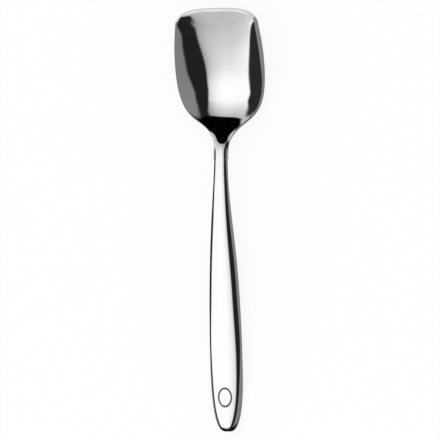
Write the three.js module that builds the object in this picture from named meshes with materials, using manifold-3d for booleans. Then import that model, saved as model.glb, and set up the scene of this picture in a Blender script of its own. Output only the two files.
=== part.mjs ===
// Sugar spoon with a square, scoop-like bowl and a hollow handle, in millimetres.
// The spoon lies face up on the plane z = 0. +Y runs along it towards the tip of the bowl, and +Z is up.
// The bowl, its neck and a tang are one stamping. The handle is two drawn half shells, front and back,
// joined edge to edge round the tang, and the space inside them is filled with cement that grips the tang.
import * as THREE from "three";
import { mergeVertices } from "three/addons/utils/BufferGeometryUtils.js";
import Module from "manifold-3d";

// Plan view: full widths, and distances from the tip of the bowl unless a name says otherwise
const OVERALL_LENGTH = 145;
const TIP_FLAT_WIDTH = 5;
const TIP_CORNER_WIDTH = 29.5;
const TIP_CORNER_AT = 5.6;
const BOWL_WIDTH = 31.6;
const BOWL_WIDEST_AT = 19.5;
const SHOULDER_WIDTH = 18.2;
const SHOULDER_AT = 38.6;
const SHOULDER_SLOPE = 1.39;
const NECK_WIDTH = 4.7;
const NECK_AT = 50;
const HANDLE_WIDTH = 11.4;
const HANDLE_WIDEST_FROM_END = 23;
const END_FLAT_WIDTH = 1.6;
const TIP_STRAIGHTNESS = 0.566;
const END_STRAIGHTNESS = 0.51;

// Side view: heights of the edge above the table
const RIM_TIP_HEIGHT = 12.83;
const RIM_CORNER_HEIGHT = 12.28;
const RIM_SIDE_HEIGHT = 8.84;
const RIM_SHOULDER_HEIGHT = 4.74;
const NECK_HEIGHT = 7.3;
const CREST_HEIGHT = 8.05;
const CREST_AT = 59;
const GRIP_HEIGHT = 4.77;
const GRIP_AT = 100;
const HANDLE_REST_FROM_END = 11;
const END_HEIGHT = 2.05;

// Side view: heights of the bowl's face along its middle, and how far the handle swells over its edge
const SCOOP_HEIGHT = 7.95;
const SCOOP_AT = 10;
const FLOOR_SIDE_HEIGHT = 4.2;
const DEEPEST_AT = 31;
const RAMP_FOOT_HEIGHT = 3.4;
const RAMP_HEIGHT = 5.88;
const RAMP_AT = 43;
const NECK_CROWN = 1.16;
const CREST_CROWN = 1.05;
const GRIP_CROWN = 1.77;
const END_CROWN = 2.3;
const NECK_BACK = 1.3;
const HANDLE_BACK = 2.4;

// Thicknesses: across the sheet at the rim, and upright elsewhere
const RIM_THICKNESS = 1.5;
const RIM_LEAN_DEGREES = 33;
const FLOOR_THICKNESS = 1.9;
const SEAM_LAND = 0.3;
const BOWL_FLAT_DEPTH = 0.35;
const HANDLE_FLAT_DEPTH = 0.15;

// Cross-sections: a parabola has roundness 1, and less gives a flatter floor with steeper sides.
// An ellipse has fullness 0.5, and more gives a flatter face with a keener edge.
const TIP_ROUNDNESS = 0.6;
const FLOOR_ROUNDNESS = 1.12;
const FACE_FULLNESS = 0.94;
const ROUND_FULLNESS = 0.5;
const END_ROUND = 2.2;
const END_ROUND_POWER = 2.3;

// Inside the hollow handle
const JOINT_AT = 52;
const JOINT_GAP = 0.05;
const SEAM_GAP = 0.05;
const SHELL_WALL = 0.7;
const END_WALL = 4;
const TANG_LENGTH = 38;
const TANG_ROOT_WIDTH = 2.2;
const TANG_END_WIDTH = 1.6;
const TANG_THICKNESS = 0.9;
const CEMENT_FILM = 0.1;
const CEMENT_SIDE_GAP = 0.5;
const CEMENT_START_GAP = 14;
const CEMENT_END_GAP = 3;

// Fineness of the facets: rows along each stretch of the outline, and columns across
const BOWL_STEPS = [12, 8, 14, 11];
const HANDLE_STEPS = [16, 8];
const END_STEPS = 6;
const TANG_STEPS = 6;
const BOWL_FACETS_ACROSS = 28;
const HANDLE_FACETS_ACROSS = 16;
const CLOSEST_ROWS = 0.05;
const OUTLINE_DIVISIONS = 48;
const WELD_DISTANCE = 1e-4;

const { clamp, lerp, smoothstep, smootherstep, mapLinear, degToRad } = THREE.MathUtils;
const HANDLE_WIDEST_AT = OVERALL_LENGTH - HANDLE_WIDEST_FROM_END;
const HANDLE_REST_AT = OVERALL_LENGTH - HANDLE_REST_FROM_END;
const CAVITY_END_AT = OVERALL_LENGTH - END_WALL;
const RIM_INSET = RIM_THICKNESS * Math.sin(degToRad(RIM_LEAN_DEGREES));
const RIM_UPRIGHT = RIM_THICKNESS * Math.cos(degToRad(RIM_LEAN_DEGREES));

const wasm = await Module();
wasm.setup();

// Plan outline

// A curve of the half outline between two points that each have a width, a place and a lean. Before
// and after a point, the curve keeps its lean for a share of the stretch to the next point.
function easeTo(path, from, to) {
  const length = to.at - from.at;
  path.bezierCurveTo(
    from.width / 2 + from.lean * length * from.after,
    from.at + length * from.after,
    to.width / 2 - to.lean * length * to.before,
    to.at - length * to.before,
    to.width / 2,
    to.at,
  );
}

// Half of the outline, with x as the half width and y as the distance from the tip.
function halfOutline() {
  const sideLean = (BOWL_WIDTH - TIP_CORNER_WIDTH) / (BOWL_WIDEST_AT - TIP_CORNER_AT);
  const corner = { width: TIP_CORNER_WIDTH, at: TIP_CORNER_AT, lean: sideLean, before: 0.75, after: 0.18 };
  const widest = { width: BOWL_WIDTH, at: BOWL_WIDEST_AT, lean: 0, before: 0.43, after: 0.586 };
  const shoulder = {
    width: SHOULDER_WIDTH,
    at: SHOULDER_AT,
    lean: -SHOULDER_SLOPE,
    before: 0.175,
    after: 0.285,
  };
  const neck = { width: NECK_WIDTH, at: NECK_AT, lean: 0, before: 0.518, after: 0.264 };
  const grip = { width: HANDLE_WIDTH, at: HANDLE_WIDEST_AT, lean: 0, before: 0.597, after: 0.835 };
  const path = new THREE.Path();
  path.moveTo(TIP_FLAT_WIDTH / 2, 0);
  path.bezierCurveTo(
    lerp(TIP_FLAT_WIDTH, corner.width, TIP_STRAIGHTNESS) / 2,
    0,
    corner.width / 2 - corner.lean * corner.at * corner.before,
    corner.at * (1 - corner.before),
    corner.width / 2,
    corner.at,
  );
  easeTo(path, corner, widest);
  easeTo(path, widest, shoulder);
  easeTo(path, shoulder, neck);
  easeTo(path, neck, grip);
  path.bezierCurveTo(
    grip.width / 2,
    lerp(grip.at, OVERALL_LENGTH, grip.after),
    lerp(END_FLAT_WIDTH, grip.width, END_STRAIGHTNESS) / 2,
    OVERALL_LENGTH,
    END_FLAT_WIDTH / 2,
    OVERALL_LENGTH,
  );
  return path;
}

const outline = halfOutline();
const bowlCurves = outline.curves.slice(0, BOWL_STEPS.length);
const handleCurves = outline.curves.slice(BOWL_STEPS.length);
const outlinePoints = outline.getPoints(OUTLINE_DIVISIONS);

function halfWidthAt(s) {
  const next = clamp(outlinePoints.findIndex((point) => point.y >= s), 1, outlinePoints.length - 1);
  const before = outlinePoints[next - 1];
  const after = outlinePoints[next];
  return mapLinear(s, before.y, after.y, before.x, after.x);
}

function stepsBetween(start, end, steps) {
  return Array.from({ length: steps + 1 }, (_, i) => lerp(start, end, i / steps));
}

// Places for the handle's cross-sections, closer together where its end turns down.
function placesBetween(start, end) {
  const along = handleCurves.flatMap((curve, i) => curve.getPoints(HANDLE_STEPS[i]).map((point) => point.y));
  const turns = stepsBetween(0, Math.PI / 2, END_STEPS);
  const atEnd = turns.map((turn) => OVERALL_LENGTH - END_ROUND * (1 - Math.sin(turn)));
  const places = [...along, ...atEnd].sort((a, b) => a - b);
  const inside = places.filter((s) => s > start + CLOSEST_ROWS && s < end - CLOSEST_ROWS);
  return [start, ...inside.filter((s, i) => i === 0 || s - inside[i - 1] > CLOSEST_ROWS), end];
}

// Side view

// A smooth line through points that are each a distance from the tip and a value.
function smoothLine(points) {
  const line = new THREE.CubicInterpolant(points.map(([s]) => s), points.map(([, value]) => value), 1);
  const first = points[0][0];
  const last = points[points.length - 1][0];
  return (s) => line.evaluate(clamp(s, first, last))[0];
}

// 0 in the bowl, 1 in the handle, with the change spread over the neck.
const handleShare = (s) => smootherstep(s, SHOULDER_AT, JOINT_AT);

const landAt = (s) => lerp(RIM_UPRIGHT, SEAM_LAND, handleShare(s)) / 2;

// 1 along the spoon, and falling to 0 where the end of the handle is rounded off.
function endClosing(s) {
  const turned = clamp(mapLinear(s, OVERALL_LENGTH - END_ROUND, OVERALL_LENGTH, 0, 1), 0, 1);
  return (1 - turned ** END_ROUND_POWER) ** (1 / END_ROUND_POWER);
}

const restHeight = HANDLE_BACK + SEAM_LAND / 2 - HANDLE_FLAT_DEPTH;

const edgeHeight = smoothLine([
  [0, RIM_TIP_HEIGHT],
  [TIP_CORNER_AT, RIM_CORNER_HEIGHT],
  [BOWL_WIDEST_AT, RIM_SIDE_HEIGHT],
  [SHOULDER_AT, RIM_SHOULDER_HEIGHT],
  [NECK_AT, NECK_HEIGHT],
  [CREST_AT, CREST_HEIGHT],
  [GRIP_AT, GRIP_HEIGHT],
  [HANDLE_REST_AT, restHeight],
  [OVERALL_LENGTH, END_HEIGHT],
]);

// Height of the upper face along the middle.
const faceHeight = smoothLine([
  [RIM_INSET, RIM_TIP_HEIGHT + RIM_UPRIGHT / 2],
  [SCOOP_AT, SCOOP_HEIGHT],
  [BOWL_WIDEST_AT, FLOOR_SIDE_HEIGHT],
  [DEEPEST_AT, FLOOR_THICKNESS - BOWL_FLAT_DEPTH],
  [SHOULDER_AT, RAMP_FOOT_HEIGHT],
  [RAMP_AT, RAMP_HEIGHT],
  [NECK_AT, NECK_HEIGHT + NECK_CROWN],
  [CREST_AT, CREST_HEIGHT + CREST_CROWN],
  [GRIP_AT, GRIP_HEIGHT + GRIP_CROWN],
  [HANDLE_REST_AT, restHeight + END_CROWN],
  [OVERALL_LENGTH, END_HEIGHT + END_CROWN],
]);

const backSwell = (s) => lerp(NECK_BACK, HANDLE_BACK, smoothstep(s, JOINT_AT, GRIP_AT));
const sheetThickness = (s) => lerp(RIM_UPRIGHT, FLOOR_THICKNESS, smoothstep(s, 0, BOWL_WIDEST_AT));
const roundness = (s) => lerp(TIP_ROUNDNESS, FLOOR_ROUNDNESS, smoothstep(s, 0, BOWL_WIDEST_AT));
const fullness = (s) => lerp(FACE_FULLNESS, ROUND_FULLNESS, smoothstep(s, GRIP_AT, HANDLE_REST_AT));

// Cross-sections

const scoop = (u, round) => 1 - round * u ** 2 - (1 - round) * u ** 4;
const oval = (u, full) => Math.max(1 - u * u, 0) ** full;

// The section at a distance from the tip: the edge has a land above and below its middle height, the
// upper face rises from the land by rise times over, and the underside drops by drop times under.
function outerSection(s, half = halfWidthAt(s)) {
  const share = handleShare(s);
  const edge = edgeHeight(s);
  const land = landAt(s);
  const rise = faceHeight(s) - edge - land;
  return {
    s,
    half,
    edge,
    land,
    rise: rise * endClosing(s),
    drop: lerp(sheetThickness(s) - 2 * land - rise, backSwell(s) * endClosing(s), share),
    over: (u) => lerp(scoop(u, roundness(s)), oval(u, fullness(s)), share),
    under: (u) => lerp(scoop(u, roundness(s)), oval(u, ROUND_FULLNESS), share),
  };
}

// The hollow of the handle, less a film above and below and a gap at the sides.
function hollowSection(s, film, sideGap) {
  const outer = outerSection(s);
  const reach = clamp(mapLinear(s, HANDLE_WIDEST_AT, CAVITY_END_AT, 0, 1), 0, 1);
  const closing = Math.sqrt(1 - reach * reach);
  const land = film / 2;
  const room = (swell) => Math.max((outer.land + swell - SHELL_WALL) * closing - film - land, 0);
  return {
    ...outer,
    half: lerp(outer.half / 2, outer.half - SHELL_WALL, closing) - sideGap,
    land,
    rise: room(outer.rise),
    drop: room(outer.drop),
  };
}

// The tang runs down the middle of the hollow at its mouth and follows the line of the handle.
const mouth = hollowSection(JOINT_AT, 0, 0);

function tangSection(s, film) {
  const width = mapLinear(s, JOINT_AT, JOINT_AT + TANG_LENGTH, TANG_ROOT_WIDTH, TANG_END_WIDTH);
  const land = TANG_THICKNESS / 4;
  const round = (u) => oval(u, ROUND_FULLNESS);
  return {
    s,
    half: width / 2 + film,
    edge: edgeHeight(s) + (mouth.rise - mouth.drop) / 2,
    land,
    rise: TANG_THICKNESS / 2 - land + film,
    drop: TANG_THICKNESS / 2 - land + film,
    over: round,
    under: round,
  };
}

// Points across the upper face of a section, or its underside, from -X to +X.
function faceRow(section, facets, up) {
  const height = up > 0 ? section.rise : section.drop;
  const shape = up > 0 ? section.over : section.under;
  return stepsBetween(-Math.PI / 2, Math.PI / 2, facets).map((angle) => {
    const u = Math.sin(angle);
    const z = section.edge + up * (section.land + height * shape(u));
    return new THREE.Vector3(section.half * u, OVERALL_LENGTH / 2 - section.s, Math.max(z, 0));
  });
}

const ringOf = (upper, lower, facets) => [
  ...faceRow(upper, facets, 1),
  ...faceRow(lower, facets, -1).reverse(),
];

// One half shell in section: the outside from seam to seam, then the inside back again.
function shellRing(s, up) {
  const outer = outerSection(s);
  const hollow = hollowSection(s, 0, 0);
  const seam = outer.edge + (up * SEAM_GAP) / 2;
  const y = OVERALL_LENGTH / 2 - s;
  const outside = [
    new THREE.Vector3(-outer.half, y, seam),
    ...faceRow(outer, HANDLE_FACETS_ACROSS, up),
    new THREE.Vector3(outer.half, y, seam),
  ];
  const height = up > 0 ? hollow.rise : hollow.drop;
  const shape = up > 0 ? hollow.over : hollow.under;
  const inside = stepsBetween(-Math.PI / 2, Math.PI / 2, outside.length - 1).map((angle) => {
    const u = Math.sin(angle);
    return new THREE.Vector3(hollow.half * u, y, seam + up * height * shape(u));
  });
  return [...outside, ...inside.reverse()];
}

// Solids

// Skins a row of rings that have equal counts, and closes both ends by joining opposite points.
function loft(rings) {
  const count = rings[0].length;
  const positions = rings.flat().flatMap((point) => point.toArray());
  const index = [];
  const quad = (a, b, c, d) => index.push(a, c, b, a, d, c);
  for (let row = 0; row < rings.length - 1; row += 1) {
    for (let i = 0; i < count; i += 1) {
      const here = row * count;
      const j = (i + 1) % count;
      quad(here + i, here + j, here + count + j, here + count + i);
    }
  }
  const last = (rings.length - 1) * count;
  for (let i = 0; i < count / 2 - 1; i += 1) {
    quad(i, count - 1 - i, count - 2 - i, i + 1);
    quad(last + i, last + i + 1, last + count - 2 - i, last + count - 1 - i);
  }
  const geometry = new THREE.BufferGeometry();
  geometry.setAttribute("position", new THREE.Float32BufferAttribute(positions, 3));
  geometry.setIndex(index);
  return geometry;
}

function toManifold(geometry) {
  const merged = mergeVertices(geometry, WELD_DISTANCE);
  const vertProperties = new Float32Array(merged.attributes.position.array);
  const triVerts = new Uint32Array(merged.index.array);
  return new wasm.Manifold(new wasm.Mesh({ numProp: 3, vertProperties, triVerts }));
}

function fromManifold(solid) {
  const mesh = solid.getMesh();
  const geometry = new THREE.BufferGeometry();
  geometry.setAttribute("position", new THREE.BufferAttribute(mesh.vertProperties, 3));
  geometry.setIndex(new THREE.BufferAttribute(mesh.triVerts, 1));
  return geometry;
}

// One ring of the bowl at a point of its outline. The rim is cut square to the leaning wall, so the
// upper face ends further in than the underside, and on the tip also further back.
function bowlRing(point, tangent) {
  const inset = RIM_INSET * (1 - handleShare(point.y));
  const upper = outerSection(point.y + tangent.x * inset, point.x - tangent.y * inset);
  return ringOf(upper, outerSection(point.y, point.x), BOWL_FACETS_ACROSS);
}

// The bowl and its neck, stepping in at the joint to the tang.
function bowlAndTang() {
  const bowlRings = bowlCurves.flatMap((curve, i) => {
    const places = stepsBetween(0, 1, BOWL_STEPS[i]).slice(0, -1);
    return places.map((t) => bowlRing(curve.getPoint(t), curve.getTangent(t)));
  });
  const neckRings = [NECK_AT, JOINT_AT].map((s) => {
    const section = outerSection(s);
    return ringOf(section, section, BOWL_FACETS_ACROSS);
  });
  const tangRings = stepsBetween(JOINT_AT, JOINT_AT + TANG_LENGTH, TANG_STEPS).map((s) => {
    const section = tangSection(s, 0);
    return ringOf(section, section, BOWL_FACETS_ACROSS);
  });
  return loft([...bowlRings, ...neckRings, ...tangRings]);
}

function handleShell(up) {
  const places = [
    ...placesBetween(JOINT_AT + JOINT_GAP, CAVITY_END_AT),
    ...placesBetween(CAVITY_END_AT, OVERALL_LENGTH).slice(1),
  ];
  const geometry = loft(places.map((s) => shellRing(s, up)));
  if (up < 0) geometry.setIndex([...geometry.index.array].reverse());
  return geometry;
}

// The filling takes the shape of the hollow, less the socket that the tang sits in.
function handleCement() {
  const start = JOINT_AT + CEMENT_START_GAP;
  const fillRings = placesBetween(start, CAVITY_END_AT - CEMENT_END_GAP).map((s) => {
    const section = hollowSection(s, CEMENT_FILM, CEMENT_SIDE_GAP);
    return ringOf(section, section, HANDLE_FACETS_ACROSS);
  });
  const socketPlaces = stepsBetween(JOINT_AT, JOINT_AT + TANG_LENGTH + CEMENT_FILM, TANG_STEPS);
  const socketRings = socketPlaces.map((s) => {
    const section = tangSection(s, CEMENT_FILM);
    return ringOf(section, section, HANDLE_FACETS_ACROSS);
  });
  return fromManifold(toManifold(loft(fillRings)).subtract(toManifold(loft(socketRings))));
}

function piece(name, geometry, color, roughness, metalness) {
  const material = new THREE.MeshStandardMaterial({ color, roughness, metalness });
  const mesh = new THREE.Mesh(geometry, material);
  mesh.name = name;
  return mesh;
}

const spoon = new THREE.Group();
spoon.name = "spoon";
spoon.add(piece("bowl_and_tang", bowlAndTang(), 0xc9cacb, 0.1, 1));
spoon.add(piece("handle_front_shell", handleShell(1), 0xc9cacb, 0.1, 1));
spoon.add(piece("handle_back_shell", handleShell(-1), 0xc9cacb, 0.12, 1));
spoon.add(piece("handle_cement", handleCement(), 0x9b948a, 0.9, 0));
export default spoon;
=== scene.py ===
# %% [markdown]
# # A square-bowled sugar spoon
# The real spoon is polished stainless steel: a pressed bowl with a slim neck, and a handle of two
# pressed shells that are joined along their edges and filled with cement. Everything is in the frame
# of the solids: +Y runs to the tip of the bowl and +Z is up. A mirror-bright thing shows every ripple
# of its mesh, so the skins here are dense grids that are pressed into shape by smooth curves.

# %% Load the frame
import math

import bmesh
import bpy
import numpy as np
from mathutils import Matrix, Vector
from mathutils.geometry import interpolate_bezier


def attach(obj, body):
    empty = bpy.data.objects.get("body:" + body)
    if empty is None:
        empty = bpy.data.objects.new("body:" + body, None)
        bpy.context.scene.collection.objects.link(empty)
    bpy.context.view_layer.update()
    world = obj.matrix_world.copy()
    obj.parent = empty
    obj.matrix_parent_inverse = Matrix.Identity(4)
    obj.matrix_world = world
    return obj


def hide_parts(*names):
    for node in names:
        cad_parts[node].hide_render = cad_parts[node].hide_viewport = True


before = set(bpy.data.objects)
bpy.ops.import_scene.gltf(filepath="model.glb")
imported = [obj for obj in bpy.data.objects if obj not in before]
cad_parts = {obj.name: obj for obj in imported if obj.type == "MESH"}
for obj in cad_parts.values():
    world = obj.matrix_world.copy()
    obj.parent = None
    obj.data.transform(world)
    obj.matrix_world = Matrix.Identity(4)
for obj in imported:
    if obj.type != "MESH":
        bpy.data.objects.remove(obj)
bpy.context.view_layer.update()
print("solids:", sorted(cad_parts))

# %% [markdown]
# ## The outline
# Seen from above, half of the spoon is a chain of curves: tip edge and corner, long side, shoulder,
# fillet, handle and rounded end. A chain of Bezier curves is how such an outline is drawn for a
# cutting die. Each row of the grids takes its width from one point of this chain. Sizes are in
# millimetres, measured from the tip, and are turned to metres when a mesh is finished.

# %% Draw the half outline
LENGTH = 145.0
BOWL_HALF = 15.8
NECK_HALF = 2.35
NECK_AT = 50.0
HANDLE_HALF = 5.7
OUTLINE = {
    "tip": ((2.5, 0.35), (9.44, 0.35), (13.95, 1.75), (14.6, 5.8)),
    "side": ((14.6, 5.8), (15, 8.3), (BOWL_HALF, 13.5), (BOWL_HALF, 19.5)),
    "shoulder": ((BOWL_HALF, 19.5), (BOWL_HALF, 30.7), (13.75, 35.25), (9.1, 38.6)),
    "fillet": ((9.1, 38.6), (4.6, 41.85), (NECK_HALF, 44.1), (NECK_HALF, NECK_AT)),
    "grip": ((NECK_HALF, NECK_AT), (NECK_HALF, 69), (HANDLE_HALF, 79), (HANDLE_HALF, 122)),
    "end": ((HANDLE_HALF, 122), (HANDLE_HALF, 141.2), (3.3, LENGTH), (0.8, LENGTH)),
}
FINE_STEPS = 120


def curve_points(name, steps):
    """Points of one stretch of the outline, as (half width, distance from the tip)."""
    return interpolate_bezier(*[Vector(point) for point in OUTLINE[name]], steps + 1)


fine_outline = [point for name in OUTLINE for point in curve_points(name, FINE_STEPS)]
outline_at = [point.y for point in fine_outline]
outline_half = [point.x for point in fine_outline]


def half_width(s):
    return float(np.interp(s, outline_at, outline_half))


print("widest bowl:", 2 * max(outline_half), "mm, neck:", 2 * half_width(NECK_AT), "mm")

# %% [markdown]
# ## The side view
# Lines along the spoon give its depth: the height of the edge, the height of the face along the
# middle, and how far the handle swells to the back of its edge. A natural cubic spline has no jump
# in curvature, and that is what keeps a reflection from breaking as it runs along the steel.

# %% A smooth line through points
def natural_spline(points):
    """A function through (distance, value) points with continuous curvature."""
    at, value = np.array(points, float).T
    gap = np.diff(at)
    count = len(at)
    matrix = np.eye(count)
    target = np.zeros(count)
    for i in range(1, count - 1):
        matrix[i, i - 1:i + 2] = gap[i - 1], 2 * (gap[i - 1] + gap[i]), gap[i]
        target[i] = 6 * ((value[i + 1] - value[i]) / gap[i] - (value[i] - value[i - 1]) / gap[i - 1])
    bend = np.linalg.solve(matrix, target)

    def height(s):
        s = min(max(s, at[0]), at[-1])
        i = int(np.clip(np.searchsorted(at, s) - 1, 0, count - 2))
        a = (at[i + 1] - s) / gap[i]
        b = 1 - a
        curve = ((a ** 3 - a) * bend[i] + (b ** 3 - b) * bend[i + 1]) * gap[i] ** 2 / 6
        return a * value[i] + b * value[i + 1] + curve

    return height


print("a spline through 0, 1 and 0 is", natural_spline([(0, 0), (1, 1), (2, 0)])(0.5), "on its way up")

# %% Lines along the spoon
BOWL_MIDDLE = 26.0
edge_line = natural_spline([
    (0, 12.54), (3, 12.57), (6, 12.2), (12, 10.7), (18, 9.2), (28, 6.8), (34, 5.45), (37, 4.82),
    (39.5, 4.49), (41.3, 4.82), (43, 5.41), (45, 6.22), (46.5, 6.86), (48, 7.35), (50, 7.71),
    (52, 7.88), (54, 8.0), (59, 8.22), (72, 7.62), (88, 5.91), (104, 4.56), (120, 3.49), (134, 2.53),
    (LENGTH, 2.12),
])
middle_line = natural_spline([
    (0, 14.12), (7.5, 9.2), (12.5, 6.8), (18, 4.72), (23, 3.1), (28, 1.9), (31, 1.55), (33, 1.68),
    (35, 2.1), (37.4, 2.85), (40, 4.15), (43, 5.88), (46, 7.44), (48.5, 8.26), (52, 8.66), (59, 9.06),
    (72, 8.85), (88, 7.45), (104, 6.2), (120, 5.1), (134, 4.57), (LENGTH, 4.33),
])
back_line = natural_spline([
    (44, 1.5), (52, 1.7), (59, 1.65), (70, 1.88), (85, 2.31), (95, 2.55), (107, 2.64), (122, 2.75),
    (134, 2.68), (LENGTH, 2.57),
])
print("bowl depth at its middle:", round(edge_line(BOWL_MIDDLE) - middle_line(BOWL_MIDDLE), 2), "mm")

# %% [markdown]
# ## Cross-sections
# Across the bowl the steel is a shallow scoop, and across the handle it is an oval. The scoop is
# written with even powers of u, the place across from -1 to 1, so that the middle stays smooth. Its
# roundness is the share of the plain parabola: towards the shoulder the floor is flatter and the
# sides turn up more sharply. Through the neck the scoop turns into the oval.

# %% Forms across the spoon
NECK_STARTS_AT = 38.0
JOINT_AT = 52.0
roundness_line = natural_spline([
    (0, 0.6), (7.5, 0.72), (12.5, 0.9), (18, 1.05), (28, 1.12), (33, 1.15), (36, 1.2), (42, 1.1),
])


def smooth_step(s, start, end):
    t = min(max((s - start) / (end - start), 0), 1)
    return t * t * t * (t * (6 * t - 15) + 10)


def handle_share(s):
    return smooth_step(s, NECK_STARTS_AT, JOINT_AT)


def scoop(u, roundness):
    return 1 - roundness * u ** 2 - (1 - roundness) * u ** 4


def oval(u, fullness):
    return max(1 - u * u, 0) ** fullness


def form(s, fullness):
    """The form across one row, as a function that is 1 in the middle and 0 at the edges."""
    share = handle_share(s)
    roundness = roundness_line(s)
    return lambda u: (1 - share) * scoop(u, roundness) + share * oval(u, fullness)


print("share of depth halfway out in the bowl:", round(form(BOWL_MIDDLE, 1)(0.5), 2))

# %% [markdown]
# The two faces stand on the edge line, half a rim's thickness above and below it, and the handle's
# last stretch is rounded off. The fullness of the handle's oval falls towards its end, where the face
# is flatter in the middle and turns down faster at the sides.

# %% Upper and lower face
RIM_THICKNESS = 1.5
RIM_LEAN = math.radians(33)
SEAM_HALF = 0.02
FLOOR_THICKNESS = 1.9
TIP_THICKNESS = 1.95
TIP_ENDS_AT = 20.0
END_ROUND = 2.2
END_POWER = 2.3
BACK_FULLNESS = 0.5
fullness_line = natural_spline([
    (44, 1.08), (56, 1.08), (68, 1), (82, 0.99), (89, 0.96), (96, 0.92), (103, 0.9), (112, 0.88),
    (118, 0.82), (123, 0.73), (129, 0.6), (134, 0.52), (LENGTH, 0.5),
])


def rim_half(s):
    return RIM_THICKNESS / 2 * math.cos(RIM_LEAN) * (1 - handle_share(s)) + SEAM_HALF


def end_closing(s):
    """Rounds the handle off over its last stretch."""
    t = max((s - LENGTH + END_ROUND) / END_ROUND, 0)
    return max(1 - t ** END_POWER, 0) ** (1 / END_POWER)


def upper_section(s):
    """The height of the upper face along one row, as a function of the place across."""
    base = edge_line(s) + rim_half(s)
    rise = (middle_line(s) - base) * end_closing(s)
    across = form(s, fullness_line(s))
    return lambda u: base + rise * across(u)


def lower_section(s):
    """The height of the underside along one row; it is ground flat where it meets the table."""
    share = handle_share(s)
    base = edge_line(s) - rim_half(s)
    metal = TIP_THICKNESS + (FLOOR_THICKNESS - TIP_THICKNESS) * smooth_step(s, 0, TIP_ENDS_AT)
    rise = (1 - share) * (middle_line(s) - metal - base) - share * back_line(s) * end_closing(s)
    across = form(s, BACK_FULLNESS)
    return lambda u: max(base + rise * across(u), 0)


print("neck height:", round(upper_section(JOINT_AT)(0) - lower_section(JOINT_AT)(0), 2), "mm")

# %% [markdown]
# ## Pressing a skin
# A press starts from a flat blank, and so does each skin: a grid, whose points are then moved to
# their place on the pressed form. The columns crowd towards the edges, where the metal turns most.

# %% Grids and objects
MM = 0.001
SHARP_EDGE = math.radians(32)
MERGE_WITHIN = 1e-4


def place_across(column, columns):
    """The place of a column from -1 to 1, closer together towards the edges."""
    return math.sin((column / columns - 0.5) * math.pi)


def press_skin(bm, rows, columns, section):
    """Adds a grid pressed to the sections and returns its vertices as a table of rows."""
    last = len(rows) - 1
    made = bmesh.ops.create_grid(bm, x_segments=columns, y_segments=last, size=1.0)["verts"]
    heights = [section(s) for s, _ in rows]
    table = [[None] * (columns + 1) for _ in rows]
    for vert in made:
        column = round((vert.co.x + 1) / 2 * columns)
        row = round((vert.co.y + 1) / 2 * last)
        u = place_across(column, columns)
        s, half = rows[row]
        vert.co = (u * half, LENGTH / 2 - s, heights[row](u))
        table[row][column] = vert
    return table


def as_object(bm, name, material):
    """Closes a mesh, turns it to metres and makes it an object."""
    bmesh.ops.remove_doubles(bm, verts=bm.verts, dist=MERGE_WITHIN)
    bmesh.ops.recalc_face_normals(bm, faces=bm.faces)
    bmesh.ops.scale(bm, vec=(MM, MM, MM), verts=bm.verts)
    open_edges = sum(not edge.is_manifold for edge in bm.edges)
    mesh = bpy.data.meshes.new(name)
    bm.to_mesh(mesh)
    bm.free()
    mesh.shade_smooth()
    mesh.set_sharp_from_angle(angle=SHARP_EDGE)
    mesh.materials.append(material)
    piece = bpy.data.objects.new(name, mesh)
    bpy.context.scene.collection.objects.link(piece)
    print(name, len(mesh.polygons), "faces,", open_edges, "open edges")
    return piece


print("width of the first of 100 columns:", round(1 + place_across(1, 100), 5))

# %% [markdown]
# ## Shader helpers
# A material is a tree of small nodes. Most functions here add one node, link what goes into it and
# hand back its output, so that a material reads like a few lines of sums. A ramp of levels is read
# from a table, so it can't show a step that is finer than one entry of that table.

# %% Nodes for numbers
FULL_TURN = 360
RAMP_STEPS = 256


def add(tree, kind, **settings):
    node = tree.nodes.new(kind)
    for key, value in settings.items():
        setattr(node, key, value)
    return node


def calculate(tree, operation, *values):
    node = add(tree, "ShaderNodeMath", operation=operation)
    for socket, value in zip(node.inputs, values):
        if isinstance(value, bpy.types.NodeSocket):
            tree.links.new(value, socket)
        else:
            socket.default_value = value
    return node.outputs[0]


def levels(tree, value, stops):
    """A level that follows a value from -180 to 180, such as an angle in degrees."""
    node = add(tree, "ShaderNodeValToRGB")
    tree.links.new(calculate(tree, "MULTIPLY_ADD", value, 1 / FULL_TURN, 0.5), node.inputs[0])
    elements = node.color_ramp.elements
    while len(elements) < len(stops):
        elements.new(0.5)
    for element, (at, level) in zip(elements, stops):
        element.position = at / FULL_TURN + 0.5
        element.color = (level, level, level, 1)
    return node.outputs[0]


def noise(tree, place, scale, detail):
    node = add(tree, "ShaderNodeTexNoise")
    node.inputs["Scale"].default_value = scale
    node.inputs["Detail"].default_value = detail
    tree.links.new(place, node.inputs["Vector"])
    return node.outputs[0]


print("finest step of a ramp:", round(FULL_TURN / RAMP_STEPS, 2), "degrees")

# %% Nodes for surfaces
GROUP_OUTPUTS = (("Tint", "Color"), ("Roughness", "Float"), ("Normal", "Vector"))
MIX_FIRST = 6
MIX_SECOND = 7
MIX_RESULT = 2


def blend(tree, share, first, second):
    """A colour between two others, which are sockets or plain values."""
    node = add(tree, "ShaderNodeMix", data_type="RGBA")
    tree.links.new(share, node.inputs["Factor"])
    for socket, value in ((node.inputs[MIX_FIRST], first), (node.inputs[MIX_SECOND], second)):
        if isinstance(value, bpy.types.NodeSocket):
            tree.links.new(value, socket)
        else:
            socket.default_value = (*value, 1)
    return node.outputs[MIX_RESULT]


def bump(tree, height, distance):
    node = add(tree, "ShaderNodeBump")
    node.inputs["Distance"].default_value = distance
    tree.links.new(height, node.inputs["Height"])
    return node.outputs[0]


def surface_group(name):
    """A group for what varies over a surface: its tint, its roughness and its normal."""
    group = bpy.data.node_groups.new(name, "ShaderNodeTree")
    for output, kind in GROUP_OUTPUTS:
        group.interface.new_socket(output, in_out="OUTPUT", socket_type="NodeSocket" + kind)
    return group


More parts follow.
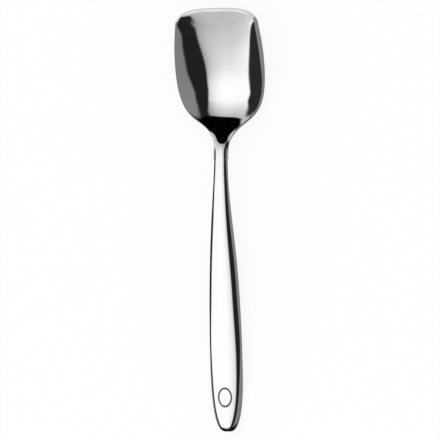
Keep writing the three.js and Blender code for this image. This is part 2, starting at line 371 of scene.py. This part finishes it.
def fill_outputs(group, *sockets):
    output = add(group, "NodeGroupOutput")
    for socket, target in zip(sockets, output.inputs):
        group.links.new(socket, target)
    print(group.name, "has", len(group.nodes), "nodes")


print("a surface group gives", [output for output, _ in GROUP_OUTPUTS])

# %% [markdown]
# ## Polished steel
# Cutlery is buffed on soft wheels until it is a mirror. What is left of the work are very faint lines
# along the spoon, and handling adds a thin film of grease in patches. Both are noise in the object's
# own coordinates, so they run on from piece to piece: the lines are stretched along Y, and the patches
# are coarse. They change the tint a little and the roughness more. The lines also tilt the surface by
# a fraction of a degree, which is all that a mirror can bear.

# %% Buffed surface
LINE_SCALE = (1100, 45, 1100)
LINE_HEIGHT = 2.5e-7
LINE_ROUGHNESS = 0.012
PATCH_SCALE = 110
FILM_ROUGHNESS = 0.05
LEAST_ROUGHNESS = 0.018
WARM_TINT = (0.79, 0.785, 0.78)
COOL_TINT = (0.765, 0.77, 0.785)

buffed = surface_group("buffed_surface")
place = add(buffed, "ShaderNodeTexCoord").outputs["Object"]
stretched = add(buffed, "ShaderNodeMapping")
stretched.inputs["Scale"].default_value = LINE_SCALE
buffed.links.new(place, stretched.inputs["Vector"])
lines = noise(buffed, stretched.outputs[0], scale=1, detail=2)
patches = noise(buffed, place, PATCH_SCALE, detail=3)
film = calculate(buffed, "MULTIPLY_ADD", patches, FILM_ROUGHNESS, LEAST_ROUGHNESS)
fill_outputs(
    buffed,
    blend(buffed, patches, COOL_TINT, WARM_TINT),
    calculate(buffed, "MULTIPLY_ADD", lines, LINE_ROUGHNESS, film),
    bump(buffed, lines, LINE_HEIGHT),
)

# %% [markdown]
# The engraved ring on the handle isn't buffed: its groove is left satin and holds a little tarnish.
# The mesh of the handle carries a value called engraved, 1 in the bottom of the groove, and the
# material reads it.

# %% Steel
SATIN = 0.3
TARNISH = (0.2, 0.195, 0.19)


def surfaced(name, group):
    """A material whose principled shader takes its tint, roughness and normal from a group."""
    material = bpy.data.materials.new(name)
    material.use_nodes = True
    tree = material.node_tree
    shader = tree.nodes["Principled BSDF"]
    surface = add(tree, "ShaderNodeGroup", node_tree=group)
    for source, target in (("Tint", "Base Color"), ("Roughness", "Roughness"), ("Normal", "Normal")):
        tree.links.new(surface.outputs[source], shader.inputs[target])
    return material, tree, shader, surface


steel, tree, shader, surface = surfaced("polished_steel", buffed)
shader.inputs["Metallic"].default_value = 1.0
engraved = add(tree, "ShaderNodeAttribute", attribute_name="engraved").outputs["Fac"]
tree.links.new(blend(tree, engraved, surface.outputs["Tint"], TARNISH), shader.inputs["Base Color"])
rough = calculate(tree, "MULTIPLY_ADD", engraved, SATIN, surface.outputs["Roughness"])
tree.links.new(rough, shader.inputs["Roughness"])
print(steel.name, "has", len(tree.nodes), "nodes")

# %% [markdown]
# ## The bowl
# The bowl is pressed from one sheet, so it has an inner and an outer skin with the metal between. Its
# blank is cut square, so the rim is a narrow flat edge that leans with the wall. Each skin ends a
# little inside the outline, and the rim bridges the two. The rows of a skin follow the outline moved
# inwards by that inset.

# %% Rows of the bowl
LOWER_INSET = 0.2
BOWL_STEPS = {"tip": 24, "side": 18, "shoulder": 30, "fillet": 26}
NECK_ROWS = (NECK_AT, 50.5, 51, 51.5, JOINT_AT)
upper_inset = natural_spline([
    (0, 1.02), (5, 1.25), (10, 1.38), (16, 1.38), (20, 1.25), (24, 1), (28, 0.84), (34, 0.74), (44, 0.7),
])


def lower_inset(s):
    return LOWER_INSET


def bowl_rows(inset):
    """Rows inside the rim: the outline moved inwards, and not moved where it becomes the neck."""
    points = []
    for name, steps in BOWL_STEPS.items():
        points += curve_points(name, steps)[:-1]
    points += [Vector((half_width(s), s)) for s in NECK_ROWS]
    rows = []
    for i, point in enumerate(points):
        along = points[min(i + 1, len(points) - 1)] - points[max(i - 1, 0)]
        if i == 0:
            along = Vector((1, 0))
        inward = Vector((-along.y, along.x)).normalized()
        moved = point + inward * inset(point.y) * (1 - handle_share(point.y))
        rows.append((moved.y, moved.x))
    return rows


upper_rows = bowl_rows(upper_inset)
lower_rows = bowl_rows(lower_inset)
print("bowl rows:", len(upper_rows))

# %% [markdown]
# ## The lip
# The edge of the tip goes to the mouth, so its inner corner is buffed until it is soft. The border of
# the inner skin is lowered there, most at its very edge and less over the next millimetre.

# %% Buff the lip
LIP_ENDS_AT = 4.2
LIP_WIDTH = 0.9
LIP_DEPTH = 0.21


def lip_drop(s, away):
    """How far the lip of the tip is buffed down, at a distance from the border of the skin."""
    return LIP_DEPTH * (1 - smooth_step(s, 0, LIP_ENDS_AT)) * max(1 - away / LIP_WIDTH, 0) ** 2


def ease_lip(table, verts):
    line = np.array([vert.co.xy for vert in verts])
    start, step = line[:-1], np.diff(line, axis=0)
    for vert in (vert for row in table for vert in row):
        s = LENGTH / 2 - vert.co.y
        if s < LIP_ENDS_AT:
            offset = np.array(vert.co.xy) - start
            share = np.clip((offset * step).sum(1) / (step ** 2).sum(1), 0, 1)
            away = np.linalg.norm(offset - share[:, None] * step, axis=1).min()
            vert.co.z -= lip_drop(s, away)


print("lip lowered by", lip_drop(0, 0), "mm, halfway in by", round(lip_drop(0, LIP_WIDTH / 2), 3), "mm")

# %% [markdown]
# ## The rim
# The border of the inner skin is extruded in steps round the cut edge to the outer skin. Each step
# has two numbers: how far over the edge it is, and how far out it stands. At each point the edge runs
# on in the way of the skins, so it leans with the wall, and along the buffed lip it has a slope of
# its own.

# %% The cut edge
RIM_REACH = 0.26
RIM_PROFILE = ((1, 1), (-0.93, 1), (-1, 0.85), (-1, 0))
LIP_SLOPE = 0.19
PROBE = 0.25


def border(table):
    """The rim's vertices from the neck round the tip to the neck."""
    left = [row[0] for row in reversed(table)]
    right = [row[-1] for row in table]
    return left + table[0][1:-1] + right


def outward_ways(verts, rows, section, lip):
    """At each vertex of the rim, the way in which the skin runs out over its border."""
    row_at, row_half = zip(*rows)
    last = len(verts) - 1
    ways = []
    for i, vert in enumerate(verts):
        along = verts[min(i + 1, last)].co - verts[max(i - 1, 0)].co
        out = Vector((-along.y, along.x, 0)).normalized()
        inside = vert.co - out * PROBE
        s = LENGTH / 2 - inside.y
        u = inside.x / np.interp(s, row_at, row_half)
        inside.z = section(s)(min(max(u, -1), 1))
        level = lip * (1 - smooth_step(s, 0, LIP_ENDS_AT))
        eased = (out + Vector((0, 0, LIP_SLOPE))) * PROBE
        ways.append((vert.co - inside).lerp(eased, level).normalized())
    return ways


def on_rim(start, start_way, end, end_way, over, out):
    """A point of the cut edge: over runs from 1 on the inner skin to -1 on the outer one."""
    way = end_way.lerp(start_way, (1 + over) / 2).normalized()
    return (start + end + (start - end) * over) / 2 + way * RIM_REACH * out


print("steps round the cut edge:", len(RIM_PROFILE))

# %% [markdown]
# ## The tang
# At the joint the neck steps in to a slim tang, which the cement grips inside the handle. It is drawn
# out of the neck's end face, row by row, and each row is an oval.

# %% Draw the tang
TANG_START = (JOINT_AT, 1.1, 0.4)
TANG_END = (90.0, 0.8, 0.13)
TANG_ROWS = 9
TANG_HALF_THICKNESS = 0.45


def draw_tang(bm, end_face):
    """Draws the neck's end face out into the tang, by its place, half width and drop from the seam."""
    middle = end_face.calc_center_bounds()
    high = max(vert.co.z for vert in end_face.verts) - middle.z
    wide = max(vert.co.x for vert in end_face.verts)
    for s, half, drop in np.linspace(TANG_START, TANG_END, TANG_ROWS):
        grown = bmesh.ops.extrude_face_region(bm, geom=[end_face])["geom"]
        bmesh.ops.delete(bm, geom=[end_face], context="FACES_ONLY")
        centre = edge_line(s) - drop
        for vert in (v for v in grown if isinstance(v, bmesh.types.BMVert)):
            turn = math.atan2((vert.co.z - middle.z) / high, vert.co.x / wide)
            vert.co = (
                half * math.cos(turn), LENGTH / 2 - s, centre + TANG_HALF_THICKNESS * math.sin(turn),
            )
        end_face = next(f for f in grown if isinstance(f, bmesh.types.BMFace))
        middle = Vector((0, 0, centre))
        high = TANG_HALF_THICKNESS
        wide = half


print("tang:", TANG_END[0] - TANG_START[0], "mm long")

# %% [markdown]
# Now the bowl is put together: both skins are pressed, the rim is extruded from one to the other, and
# the open end of the neck is closed with a face, from which the tang is drawn.

# %% Press the bowl
BOWL_COLUMNS = 110
bowl_bm = bmesh.new()
rim_id = bowl_bm.verts.layers.int.new("rim")
inner_skin = press_skin(bowl_bm, upper_rows, BOWL_COLUMNS, upper_section)
inner = border(inner_skin)
ease_lip(inner_skin, inner)
outer = border(press_skin(bowl_bm, lower_rows, BOWL_COLUMNS, lower_section))
for i, vert in enumerate(inner):
    vert[rim_id] = i
cuts = list(zip(
    [vert.co.copy() for vert in inner], outward_ways(inner, upper_rows, upper_section, 1),
    [vert.co.copy() for vert in outer], outward_ways(outer, lower_rows, lower_section, 0),
))
rim = [bowl_bm.edges.get(pair) for pair in zip(inner, inner[1:])]
for over, out in RIM_PROFILE:
    grown = bmesh.ops.extrude_edge_only(bowl_bm, edges=rim)["geom"]
    for vert in grown:
        if isinstance(vert, bmesh.types.BMVert):
            vert.co = on_rim(*cuts[vert[rim_id]], over, out)
    rim = [e for e in grown if isinstance(e, bmesh.types.BMEdge) and e.is_boundary
           and e.verts[0][rim_id] != e.verts[1][rim_id] and all(v in grown for v in e.verts)]
bmesh.ops.remove_doubles(bowl_bm, verts=bowl_bm.verts, dist=MERGE_WITHIN)
mouth = [e for e in bowl_bm.edges if e.is_boundary]
neck_end = bmesh.ops.contextual_create(bowl_bm, geom=mouth)["faces"][0]
draw_tang(bowl_bm, neck_end)
bowl = as_object(bowl_bm, "bowl", steel)
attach(bowl, "root")
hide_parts("bowl_and_tang")

# %% [markdown]
# ## The handle
# Each shell has an outer skin and an inner one a wall's thickness inside it, joined along the seam.
# The rows lie closest where the ring is engraved, and they crowd towards the end, where the skin
# turns down.

# %% Rows of the handle
JOINT_GAP = 0.05
ROW_STRETCHES = (
    (JOINT_AT + JOINT_GAP, 128, 100),
    (128.1, 139, 100),
    (139.2, LENGTH - END_ROUND, 16),
)
END_ROWS = 26


def handle_rows():
    places = [s for start, end, count in ROW_STRETCHES for s in np.linspace(start, end, count)]
    turn = np.linspace(0, math.pi / 2, END_ROWS)[1:]
    places += list(LENGTH - END_ROUND + END_ROUND * np.sin(turn))
    return [(s, half_width(s)) for s in places]


print("handle rows:", len(handle_rows()))

# %% [markdown]
# Near its end the front has a plain oval ring, struck into the steel with a die. The points of the
# skin are sunk along the ring with the rounded section of the die, and each one keeps how deep it
# was sunk, which the steel's material reads.

# %% The engraved ring
RING_AT = 133.2
RING_X = -0.3
RING_HALF_WIDTH = 2.3
RING_HALF_LENGTH = 3.1
GROOVE_WIDTH = 0.8
GROOVE_DEPTH = 0.24
LEAST_SLOPE = 0.1


def groove(x, s):
    """How deep the groove is at a place, from 0 outside it to 1 on its middle line."""
    across, along = x - RING_X, s - RING_AT
    level = (across / RING_HALF_WIDTH) ** 2 + (along / RING_HALF_LENGTH) ** 2 - 1
    slope = 2 * math.hypot(across / RING_HALF_WIDTH ** 2, along / RING_HALF_LENGTH ** 2)
    away = abs(level) / max(slope, LEAST_SLOPE)
    return 0.5 + 0.5 * math.cos(math.pi * min(2 * away / GROOVE_WIDTH, 1))


def engrave(skin, layer):
    for vert in (vert for row in skin for vert in row):
        vert[layer] = groove(vert.co.x, LENGTH / 2 - vert.co.y)
        vert.co.z -= GROOVE_DEPTH * vert[layer]


print("depth of the groove:", GROOVE_DEPTH * groove(RING_X + RING_HALF_WIDTH, RING_AT), "mm")

# %% [markdown]
# The front and the back are the same work with another outer skin. The inner skin stays a wall's
# thickness inside and closes before the end, so that the tang and its cement have a hollow.

# %% Press the two shells
WALL = 0.7
LEAST_HALF = 0.1
HANDLE_COLUMNS = 120
HOLLOW_ENDS_AT = 141.0
HOLLOW_ROUND = 23.0


def hollow_share(s):
    t = min(max((s - HOLLOW_ENDS_AT + HOLLOW_ROUND) / HOLLOW_ROUND, 0), 1)
    return math.sqrt(1 - t * t)


def inside_section(outside, way):
    """The inner skin of a shell, a wall's thickness inside its outer skin."""
    def section(s):
        base = edge_line(s) + way * SEAM_HALF
        room = max(abs(outside(s)(0) - base) - WALL, 0) * hollow_share(s)
        return lambda u: base + way * room * oval(u, BACK_FULLNESS)
    return section


def shell(name, outside, way):
    bm = bmesh.new()
    engraved_layer = bm.verts.layers.float.new("engraved")
    rows = handle_rows()
    skin = press_skin(bm, rows, HANDLE_COLUMNS, outside)
    if way > 0:
        engrave(skin, engraved_layer)
    inner_rows = [(s, max(half - WALL, LEAST_HALF)) for s, half in rows]
    press_skin(bm, inner_rows, HANDLE_COLUMNS, inside_section(outside, way))
    bmesh.ops.bridge_loops(bm, edges=[e for e in bm.edges if e.is_boundary])
    return as_object(bm, name, steel)


front = shell("handle_front", upper_section, 1)
back = shell("handle_back", lower_section, -1)
for piece, node in ((front, "handle_front_shell"), (back, "handle_back_shell")):
    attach(piece, "root")
    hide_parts(node)

# %% [markdown]
# ## Cement
# The filling inside the handle is a rosin or plaster cement that is melted or poured in and sets to a
# dull, grainy mass. Its shape is the solid of the frame, and only its material is new: mottled colour,
# sand grain and small round pores.

# %% Cement
MOTTLE_SCALE = 260
SAND_SCALE = 3500
PORE_SCALE = 900
PORE_EDGE = 3
SAND_TINT = 0.5
MOTTLE_TINT = 0.6
SAND_ROUGHNESS = 0.2
CEMENT_ROUGHNESS = 0.75
GRAIN_HEIGHT = 4e-5
DARK_CEMENT = (0.46, 0.43, 0.39)
PALE_CEMENT = (0.7, 0.67, 0.62)

grainy = surface_group("cement_grain")
place = add(grainy, "ShaderNodeTexCoord").outputs["Object"]
mottle = noise(grainy, place, MOTTLE_SCALE, detail=5)
sand = noise(grainy, place, SAND_SCALE, detail=3)
cells = add(grainy, "ShaderNodeTexVoronoi")
cells.inputs["Scale"].default_value = PORE_SCALE
grainy.links.new(place, cells.inputs["Vector"])
from_pore = calculate(grainy, "MULTIPLY", cells.outputs["Distance"], PORE_EDGE)
pores = calculate(grainy, "MINIMUM", from_pore, 1)
mottled = calculate(grainy, "MULTIPLY", mottle, MOTTLE_TINT)
speckle = calculate(grainy, "MULTIPLY_ADD", sand, SAND_TINT, mottled)
fill_outputs(
    grainy,
    blend(grainy, calculate(grainy, "MULTIPLY", speckle, pores), DARK_CEMENT, PALE_CEMENT),
    calculate(grainy, "MULTIPLY_ADD", sand, SAND_ROUGHNESS, CEMENT_ROUGHNESS),
    bump(grainy, calculate(grainy, "MULTIPLY", sand, pores), GRAIN_HEIGHT),
)
cement, *_ = surfaced("handle_cement", grainy)
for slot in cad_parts["handle_cement"].material_slots:
    slot.material = cement
print("cement in", len(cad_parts["handle_cement"].material_slots), "slot")

# %% [markdown]
# ## Studio
# A mirror has no look of its own: it shows the room. A photographer lights such a spoon with one
# large soft light overhead and sets dark and grey cards beside it, so that the edges draw dark
# lines. The tent below is painted by two angles: across, from the left horizon over the top to the
# right one, and along, towards the handle or towards the tip.

# %% Angles in the tent
RIGHT_ANGLE = 90
world = bpy.data.worlds.new("light_tent")
bpy.context.scene.world = world
world.use_nodes = True
tree = world.node_tree
tree.nodes.clear()
where = add(tree, "ShaderNodeTexCoord")
parts = add(tree, "ShaderNodeSeparateXYZ")
tree.links.new(where.outputs["Generated"], parts.inputs[0])
x, y, z = parts.outputs
across = calculate(tree, "DEGREES", calculate(tree, "ARCTAN2", x, z))
along = calculate(tree, "DEGREES", calculate(tree, "ARCSINE", y))


def edge_angle(tree, degrees, stops):
    """The angle of an edge in the tent, which follows another angle."""
    share = levels(tree, degrees, [(at, edge / RIGHT_ANGLE) for at, edge in stops])
    return calculate(tree, "MULTIPLY", share, RIGHT_ANGLE)


def past_edge(tree, degrees):
    """0 before an edge and 1 past it, with a soft step a few degrees wide."""
    return levels(tree, degrees, [(-1, 0), (1, 1)])


print("nodes for the angles:", len(tree.nodes))

# %% [markdown]
# The light box fills the top of the tent. Its right edge draws the dark bands in the bowl and down the
# handle, and its left edge draws the thin line on the other side. Light falls off towards the right
# edge, in one place faster than in another, so there are two courses and a share between them.

# %% Light box from side to side
box_edge = edge_angle(tree, along, [
    (-54, 1.3), (-48, 10.5), (-45, 14), (-41, 17.1), (-38, 18.6), (-35, 19.4), (-30, 19.6), (-27, 20),
    (-24, 20.5), (-16, 20.6), (-2, 22.2), (16, 22.4), (30, 23), (40, 19),
])
from_box = calculate(tree, "SUBTRACT", across, box_edge)
crisp = levels(tree, from_box, [
    (-34, 1), (-26, 0.98), (-22, 0.957), (-18, 0.926), (-14, 0.885), (-10, 0.83), (-6, 0.75), (-2, 0.66),
    (1, 0),
])
faded = levels(tree, from_box, [
    (-44, 1), (-36, 0.98), (-30, 0.95), (-26, 0.92), (-22, 0.885), (-18, 0.835), (-14, 0.775), (-10, 0.7),
    (-6, 0.58), (-2, 0.45), (1, 0),
])
fade = levels(tree, along, [(-48, 0), (-40, 0.35), (-33, 1), (-20, 0), (3, 0), (12, 0.8), (30, 1)])
softening = calculate(tree, "MULTIPLY", fade, calculate(tree, "SUBTRACT", faded, crisp))
box_right = calculate(tree, "ADD", crisp, softening)
left_edge = edge_angle(tree, along, [
    (-34, 88), (-30, 82), (-26, 75.5), (-22, 71.1), (-19, 69.8), (-16, 69.4), (-11, 70), (-6, 70.4),
    (-1, 68.8), (5.5, 66.8), (11, 67.3), (16, 68), (20, 67.8), (23, 66.6), (29, 66.6), (32, 69), (35, 77),
    (38, 85),
])
box_left = past_edge(tree, calculate(tree, "ADD", across, left_edge))
print("nodes with the sides of the box:", len(tree.nodes))

# %% [markdown]
# Along the spoon the box is brightest a little towards the handle from straight overhead, and falls
# off both ways. Towards its left wing the fall starts sooner.

# %% Light box from end to end
wing = edge_angle(tree, across, [(-70, 9), (-50, 5), (-25, 0)])
back_fall = levels(tree, calculate(tree, "SUBTRACT", along, wing), [
    (-72, 0), (-69, 0.49), (-60, 0.505), (-52, 0.53), (-46, 0.567), (-40, 0.605), (-36, 0.665),
    (-33, 0.755), (-30, 0.86), (-26, 0.95), (-21, 0.99), (-12, 1),
])
front_fall = levels(tree, calculate(tree, "ADD", along, wing), [
    (-12, 1), (10, 0.945), (23, 0.8), (29, 0.67), (35, 0.55), (43, 0.46),
])
length_fall = calculate(tree, "MULTIPLY", back_fall, front_fall)
light_box = calculate(tree, "MULTIPLY", box_right, calculate(tree, "MULTIPLY", box_left, length_fall))
print("nodes with the whole box:", len(tree.nodes))

# %% [markdown]
# Beyond the tip hangs a strip of black cloth, which the ramp between bowl and neck mirrors as a dark
# wedge. On the right a grey card stands past a dark gap, and it draws the grey sides.

# %% Dark and grey cards
front_edge = edge_angle(tree, across, [
    (-70, 36), (-50, 38.5), (-40, 40), (-22, 41.5), (-4, 41.5), (6, 40.4), (14, 39.3), (22, 38.6),
])
from_front = calculate(tree, "SUBTRACT", along, front_edge)
front_cut = levels(tree, from_front, [(-1, 1), (1, 0), (24, 0), (28, 1)])
card_edge = edge_angle(tree, along, [
    (-37, 60), (-34, 47.5), (-31, 46.8), (-28, 48), (-25, 47.6), (-22, 46), (-19, 44.2), (-16, 43.1),
    (-11, 41.4), (-4, 41.3), (4, 40.7), (13, 39), (24, 36.8), (31, 34.2), (43, 31.2),
])
card_shape = past_edge(tree, calculate(tree, "SUBTRACT", across, card_edge))
card_level = levels(tree, along, [
    (-30, 0.183), (0, 0.213), (30, 0.22), (50, 0.22), (53, 0), (67, 0), (71, 0.2),
])
card_light = calculate(tree, "MULTIPLY", card_shape, card_level)
dark_level = levels(tree, across, [(-68, 0.02), (-40, 0.013)])
print("nodes with the cards:", len(tree.nodes))

# %% [markdown]
# Only reflections see the painted tent. Steel gives back about four fifths of the light, so the tent
# is that much brighter than white for its mirror image to be white. For all other rays the world is
# plain white.

# %% Put the tent together
TENT_STRENGTH = 1.27
behind_front = calculate(tree, "MULTIPLY", calculate(tree, "ADD", light_box, dark_level), front_cut)
tent = add(tree, "ShaderNodeBackground")
tent.inputs["Strength"].default_value = TENT_STRENGTH
tree.links.new(calculate(tree, "ADD", behind_front, card_light), tent.inputs["Color"])
plain = add(tree, "ShaderNodeBackground")
plain.inputs["Color"].default_value = (1, 1, 1, 1)
light = add(tree, "ShaderNodeLightPath")
choose = add(tree, "ShaderNodeMixShader")
tree.links.new(light.outputs["Is Glossy Ray"], choose.inputs[0])
tree.links.new(plain.outputs[0], choose.inputs[1])
tree.links.new(tent.outputs[0], choose.inputs[2])
tree.links.new(choose.outputs[0], add(tree, "ShaderNodeOutputWorld").inputs[0])
print(world.name, "has", len(tree.nodes), "nodes")

# %% [markdown]
# ## Floor and cards on the table
# The spoon lies on a white floor, which the camera sees almost as pure white with a soft shadow. Steep
# edges, such as the cut rim and the end of the handle, mirror what lies on the table beside them, so
# there are grey and dark sheets there. Only reflections see those.

# %% Helpers for the stage
CM_PER_M = 100


def matt(name, shade):
    """A matt material of one shade, or of a shade that changes from left to right in stops of cm."""
    material = bpy.data.materials.new(name)
    material.use_nodes = True
    tree = material.node_tree
    tree.nodes.clear()
    shader = add(tree, "ShaderNodeBsdfDiffuse")
    if isinstance(shade, float):
        shader.inputs["Color"].default_value = (shade, shade, shade, 1)
    else:
        parts = add(tree, "ShaderNodeSeparateXYZ")
        tree.links.new(add(tree, "ShaderNodeTexCoord").outputs["Object"], parts.inputs[0])
        side = calculate(tree, "MULTIPLY", parts.outputs["X"], CM_PER_M)
        tree.links.new(levels(tree, side, shade), shader.inputs["Color"])
    output = add(tree, "ShaderNodeOutputMaterial")
    tree.links.new(shader.outputs[0], output.inputs[0])
    return material, tree, shader, output


def sheet(name, low, high, material):
    """A stage sheet between two corners in metres."""
    bm = bmesh.new()
    corners = (low, (high[0], low[1], low[2]), high, (low[0], high[1], high[2]))
    bmesh.ops.contextual_create(bm, geom=[bm.verts.new(corner) for corner in corners])
    mesh = bpy.data.meshes.new(name)
    bm.to_mesh(mesh)
    bm.free()
    mesh.materials.append(material)
    card = bpy.data.objects.new(name, mesh)
    bpy.context.scene.collection.objects.link(card)
    print(name, "from", low, "to", high)
    return card


print("a grade on a sheet can be up to", FULL_TURN / CM_PER_M, "m wide")

# %% Floor
REACH = 3.0
WHITE = 0.97
GLOW = 0.86
floor_white, tree, shader, output = matt("pale_floor", WHITE)
seen = add(tree, "ShaderNodeLightPath")
mix = add(tree, "ShaderNodeMixShader")
tree.links.new(calculate(tree, "MULTIPLY", seen.outputs["Is Camera Ray"], GLOW), mix.inputs[0])
tree.links.new(shader.outputs[0], mix.inputs[1])
tree.links.new(add(tree, "ShaderNodeEmission").outputs[0], mix.inputs[2])
tree.links.new(mix.outputs[0], output.inputs[0])
sheet("pale_floor", (-REACH, -REACH, 0), (REACH, REACH, 0), floor_white)

# %% Sheets beside the spoon
GREY = 0.26
BLACK = 0.01
PALE = 0.8
PALE_TO_GREY = [(-140.6, WHITE), (0, PALE), (140.6, GREY)]
SHEET_LIFT = 5e-5
DARK_LIFT = 1e-4
PAST_END = (LENGTH / 2 + 1) * MM
DARK_HALF = 0.05
DARK_ENDS_AT = -0.4
CARD_HALF = 0.03
CARD_AT = -0.085
CARD_HEIGHT = 0.013

for name, low, high, shade in (
    ("grey_sheet", (-REACH, -REACH, SHEET_LIFT), (REACH, PAST_END, SHEET_LIFT), GREY),
    ("graded_sheet", (-REACH, PAST_END, SHEET_LIFT), (REACH, REACH, SHEET_LIFT), PALE_TO_GREY),
    ("dark_sheet", (-DARK_HALF, DARK_ENDS_AT, DARK_LIFT), (DARK_HALF, -PAST_END, DARK_LIFT), BLACK),
    ("dark_card", (-CARD_HALF, CARD_AT, 0), (CARD_HALF, CARD_AT, CARD_HEIGHT), BLACK),
):
    material, *_ = matt(name, shade)
    card = sheet(name, low, high, material)
    card.visible_camera = False
    card.visible_diffuse = False
    card.visible_shadow = False

# %% [markdown]
# ## Camera
# The view is from above, leaning 15 degrees to the right of the spoon, with a long lens. The lens
# follows from the width that the frame has at the spoon.

# %% Camera
LEAN = math.radians(15)
ROLL = math.radians(0.6)
DISTANCE = 1.2
FRAME_WIDTH = 0.15047
SENSOR_WIDTH = 36
AIM = Vector((-0.0013, 0, 0.005))
toward = Vector((math.sin(LEAN), 0, math.cos(LEAN)))
level = Vector((math.cos(LEAN), 0, -math.sin(LEAN)))
ahead = Vector((0, 1, 0))
right = level * math.cos(ROLL) - ahead * math.sin(ROLL)
up = ahead * math.cos(ROLL) + level * math.sin(ROLL)
camera_data = bpy.data.cameras.new("camera")
camera_data.sensor_width = SENSOR_WIDTH
camera_data.lens = SENSOR_WIDTH * DISTANCE / FRAME_WIDTH
camera = bpy.data.objects.new("camera", camera_data)
bpy.context.scene.collection.objects.link(camera)
eye = AIM + toward * DISTANCE
camera.matrix_world = Matrix((
    (right.x, up.x, toward.x, eye.x),
    (right.y, up.y, toward.y, eye.y),
    (right.z, up.z, toward.z, eye.z),
    (0, 0, 0, 1),
))
bpy.context.scene.camera = camera
bpy.context.scene.view_settings.view_transform = "Standard"
print("lens:", round(camera_data.lens), "mm")
